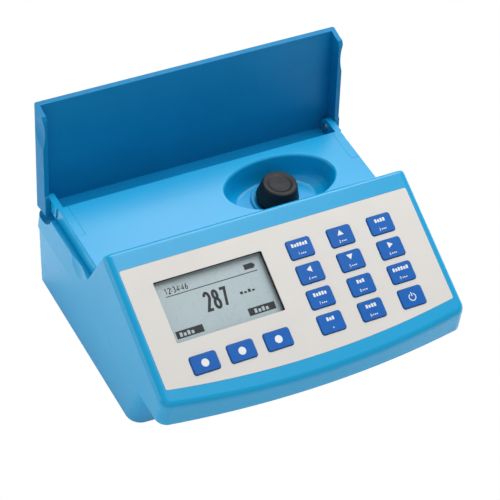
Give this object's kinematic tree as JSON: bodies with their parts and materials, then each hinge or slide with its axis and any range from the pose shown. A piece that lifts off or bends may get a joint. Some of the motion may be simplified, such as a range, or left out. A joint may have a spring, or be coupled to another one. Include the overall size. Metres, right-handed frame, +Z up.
{
  "type": "multiparameter photometer",
  "caption": "Bench photometer with a sloping key panel and display, a hinged lid, and a round capped sample vial lifted out of a well in the deck.",
  "frame": {"origin": "on the bench, under the middle of the whole part as it stands with its lid open", "axes": "+X to the user's right, +Y away from the user, +Z up"},
  "size_m": [0.206, 0.1934, 0.1302],
  "materials": {
    "battery_wrap": "shrink wrap",
    "black_plastic": "matt black",
    "cap_plastic": "satin black",
    "circuit_board": "green lacquer",
    "display_face": "reflective liquid crystal face",
    "display_glass": "clear",
    "filter_glass": "coated",
    "foot_rubber": "matt",
    "holder_plastic": "satin",
    "housing_plastic": "fine moulded texture, satin",
    "jack_plastic": "matt",
    "key_plastic": "satin, printed symbols",
    "lamp_plastic": "clear epoxy",
    "lid_plastic": "fine moulded texture, satin",
    "mat_rubber": "soft, matt",
    "optical_glass": "polished",
    "overlay_sheet": "printed sheet, matt",
    "steel": "bright",
    "stopper_plastic": "translucent white",
    "vial_glass": "clear"
  },
  "bodies": {
    "housing": {"battery": "battery_wrap", "beam_splitter": "optical_glass", "board_screw_1": "steel", "board_screw_2": "steel", "board_screw_3": "steel", "board_screw_4": "steel", "bottom_housing": "housing_plastic", "case_screw_1": "steel", "case_screw_2": "steel", "case_screw_3": "steel", "case_screw_4": "steel", "cuvette_holder": "holder_plastic", "detector_board": "circuit_board", "display_frame": "black_plastic", "display_glass": "display_glass", "display_module": "display_face", "electrode_jack": "jack_plastic", "filter_holder": "black_plastic", "filters": "filter_glass", "foot_1": "foot_rubber", "foot_2": "foot_rubber", "foot_3": "foot_rubber", "foot_4": "foot_rubber", "hinge_block_left": "housing_plastic", "hinge_block_right": "housing_plastic", "hinge_pin_left": "steel", "hinge_pin_right": "steel", "keypad_mat": "mat_rubber", "keypad_overlay": "overlay_sheet", "led_board": "circuit_board", "led_lamps": "lamp_plastic", "lens": "optical_glass", "main_board": "circuit_board", "micro_usb_port": "steel", "optics_block": "black_plastic", "port_board": "circuit_board", "reference_detector": "circuit_board", "sample_detector": "steel", "top_housing": "housing_plastic", "usb_port": "steel", "well_cup": "housing_plastic"},
    "lid": {"lid": "lid_plastic"},
    "vial": {"cuvette": "vial_glass", "stopper": "stopper_plastic"},
    "cap": {"cuvette_cap": "cap_plastic"},
    "soft_key_1": {"soft_key_1": "key_plastic"},
    "soft_key_2": {"soft_key_2": "key_plastic"},
    "soft_key_3": {"soft_key_3": "key_plastic"},
    "key_1": {"key_1": "key_plastic"},
    "key_2": {"key_2": "key_plastic"},
    "key_3": {"key_3": "key_plastic"},
    "key_4": {"key_4": "key_plastic"},
    "key_5": {"key_5": "key_plastic"},
    "key_6": {"key_6": "key_plastic"},
    "key_7": {"key_7": "key_plastic"},
    "key_8": {"key_8": "key_plastic"},
    "key_9": {"key_9": "key_plastic"},
    "key_point": {"key_point": "key_plastic"},
    "key_0": {"key_0": "key_plastic"},
    "power_key": {"power_key": "key_plastic"}
  },
  "joints": [
    {"name": "lid_hinge", "type": "hinge", "parent": "housing", "child": "lid", "pos_m": [0, 0.0738, 0.067], "axis": [-1, 0, 0], "range_deg": [-101.8, 0]},
    {"name": "vial_lift", "type": "slide", "parent": "housing", "child": "vial", "axis": [0, 0, 1], "range_m": [0, 0.045]},
    {"name": "cap_turn", "type": "hinge", "parent": "vial", "child": "cap", "pos_m": [0.0395, 0.0354, 0.06], "axis": [0, 0, 1], "range_deg": [0, 270]},
    {"name": "soft_key_1_press", "type": "slide", "parent": "housing", "child": "soft_key_1", "axis": [0, 0.421, -0.907], "range_m": [0, 0.0005], "stiffness_N_per_m": 1500},
    {"name": "soft_key_2_press", "type": "slide", "parent": "housing", "child": "soft_key_2", "axis": [0, 0.421, -0.907], "range_m": [0, 0.0005], "stiffness_N_per_m": 1500},
    {"name": "soft_key_3_press", "type": "slide", "parent": "housing", "child": "soft_key_3", "axis": [0, 0.421, -0.907], "range_m": [0, 0.0005], "stiffness_N_per_m": 1500},
    {"name": "key_1_press", "type": "slide", "parent": "housing", "child": "key_1", "axis": [0, 0.421, -0.907], "range_m": [0, 0.0005], "stiffness_N_per_m": 1500},
    {"name": "key_2_press", "type": "slide", "parent": "housing", "child": "key_2", "axis": [0, 0.421, -0.907], "range_m": [0, 0.0005], "stiffness_N_per_m": 1500},
    {"name": "key_3_press", "type": "slide", "parent": "housing", "child": "key_3", "axis": [0, 0.421, -0.907], "range_m": [0, 0.0005], "stiffness_N_per_m": 1500},
    {"name": "key_4_press", "type": "slide", "parent": "housing", "child": "key_4", "axis": [0, 0.421, -0.907], "range_m": [0, 0.0005], "stiffness_N_per_m": 1500},
    {"name": "key_5_press", "type": "slide", "parent": "housing", "child": "key_5", "axis": [0, 0.421, -0.907], "range_m": [0, 0.0005], "stiffness_N_per_m": 1500},
    {"name": "key_6_press", "type": "slide", "parent": "housing", "child": "key_6", "axis": [0, 0.421, -0.907], "range_m": [0, 0.0005], "stiffness_N_per_m": 1500},
    {"name": "key_7_press", "type": "slide", "parent": "housing", "child": "key_7", "axis": [0, 0.421, -0.907], "range_m": [0, 0.0005], "stiffness_N_per_m": 1500},
    {"name": "key_8_press", "type": "slide", "parent": "housing", "child": "key_8", "axis": [0, 0.421, -0.907], "range_m": [0, 0.0005], "stiffness_N_per_m": 1500},
    {"name": "key_9_press", "type": "slide", "parent": "housing", "child": "key_9", "axis": [0, 0.421, -0.907], "range_m": [0, 0.0005], "stiffness_N_per_m": 1500},
    {"name": "key_point_press", "type": "slide", "parent": "housing", "child": "key_point", "axis": [0, 0.421, -0.907], "range_m": [0, 0.0005], "stiffness_N_per_m": 1500},
    {"name": "key_0_press", "type": "slide", "parent": "housing", "child": "key_0", "axis": [0, 0.421, -0.907], "range_m": [0, 0.0005], "stiffness_N_per_m": 1500},
    {"name": "power_key_press", "type": "slide", "parent": "housing", "child": "power_key", "axis": [0, 0.421, -0.907], "range_m": [0, 0.0005], "stiffness_N_per_m": 1500}
  ]
}
